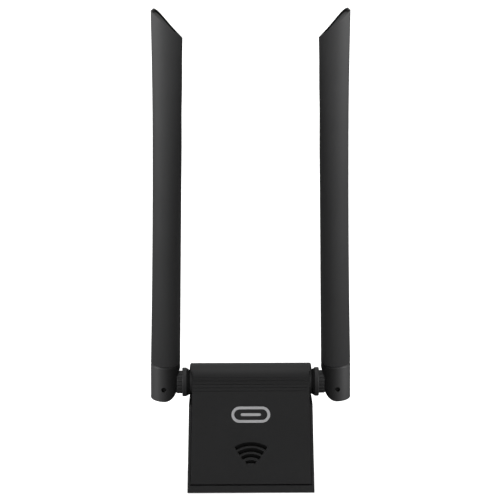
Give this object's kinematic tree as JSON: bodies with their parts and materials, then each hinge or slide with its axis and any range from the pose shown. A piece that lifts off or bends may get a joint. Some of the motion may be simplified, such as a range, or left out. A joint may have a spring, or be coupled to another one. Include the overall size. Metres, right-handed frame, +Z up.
{
  "type": "usb wifi adapter",
  "caption": "Desktop USB wireless adapter: black wedge housing with a sloping front, signal-shaped window, and a folding, swivelling paddle antenna at each side.",
  "frame": {"origin": "on the desk under the middle of the base, in the plane of the feet", "axes": "+X to the right seen from the front, +Y to the rear, +Z up; the sloping front panel faces -Y"},
  "size_m": [0.0896, 0.03, 0.2265],
  "materials": {
    "housing_black": "fine matt texture",
    "emblem_grey": "satin silver-grey print",
    "smoked_window": "smoked, slightly glossy",
    "foot_rubber": "matt",
    "label_grey": "satin film, blank",
    "screw_steel": "plain steel",
    "pin_black": "blackened",
    "board_black": "dark solder mask",
    "chip_black": "moulded package",
    "pad_grey": "soft pad",
    "can_steel": "tinned",
    "sink_aluminium": "extruded",
    "insulator_black": "moulded",
    "contact_gold": "gold flash",
    "led_white": "clear lens",
    "component_tan": "ceramic",
    "cable_grey": "extruded jacket",
    "hinge_black": "satin moulded",
    "washer_nylon": "natural nylon",
    "antenna_black": "fine matt texture",
    "cap_black": "smooth",
    "element_brass": "drawn tube",
    "spacer_foam": "soft foam"
  },
  "bodies": {
    "housing": {"chip_pad": "pad_grey", "coax_connectors": "contact_gold", "crystal": "can_steel", "emblem": "emblem_grey", "front_cover": "housing_black", "heat_sink": "sink_aluminium", "housing_screws": "screw_steel", "left_pigtail": "cable_grey", "left_swivel_washer": "washer_nylon", "light_guide": "smoked_window", "main_pcb": "board_black", "power_inductor": "chip_black", "rear_label": "label_grey", "rear_shell": "housing_black", "right_pigtail": "cable_grey", "right_swivel_washer": "washer_nylon", "rubber_feet": "foot_rubber", "shield_can": "can_steel", "small_components": "component_tan", "status_led": "led_white", "usb_contacts": "contact_gold", "usb_shell": "can_steel", "usb_tongue": "insulator_black", "wifi_chip": "chip_black"},
    "left_swivel": {"left_swivel_base": "hinge_black", "left_swivel_clip": "screw_steel", "left_swivel_coax": "cable_grey"},
    "left_antenna": {"left_antenna_coax": "cable_grey", "left_foam_spacers": "spacer_foam", "left_hinge_pin": "pin_black", "left_knuckle": "hinge_black", "left_sheath": "antenna_black", "left_sleeve_element": "element_brass", "left_tip_cap": "cap_black", "left_whip_element": "element_brass"},
    "right_swivel": {"right_swivel_base": "hinge_black", "right_swivel_clip": "screw_steel", "right_swivel_coax": "cable_grey"},
    "right_antenna": {"right_antenna_coax": "cable_grey", "right_foam_spacers": "spacer_foam", "right_hinge_pin": "pin_black", "right_knuckle": "hinge_black", "right_sheath": "antenna_black", "right_sleeve_element": "element_brass", "right_tip_cap": "cap_black", "right_whip_element": "element_brass"}
  },
  "joints": [
    {"name": "left_swivel_turn", "type": "hinge", "parent": "housing", "child": "left_swivel", "pos_m": [0, 0.00325, 0.047], "axis": [1, 0, 0], "range_deg": [-90, 90]},
    {"name": "left_fold", "type": "hinge", "parent": "left_swivel", "child": "left_antenna", "pos_m": [-0.039, 0.00325, 0.04565], "axis": [0, -1, 0], "range_deg": [0, 90]},
    {"name": "right_swivel_turn", "type": "hinge", "parent": "housing", "child": "right_swivel", "pos_m": [0, 0.00325, 0.047], "axis": [1, 0, 0], "range_deg": [-90, 90]},
    {"name": "right_fold", "type": "hinge", "parent": "right_swivel", "child": "right_antenna", "pos_m": [0.039, 0.00325, 0.04565], "axis": [0, 1, 0], "range_deg": [0, 90]}
  ]
}
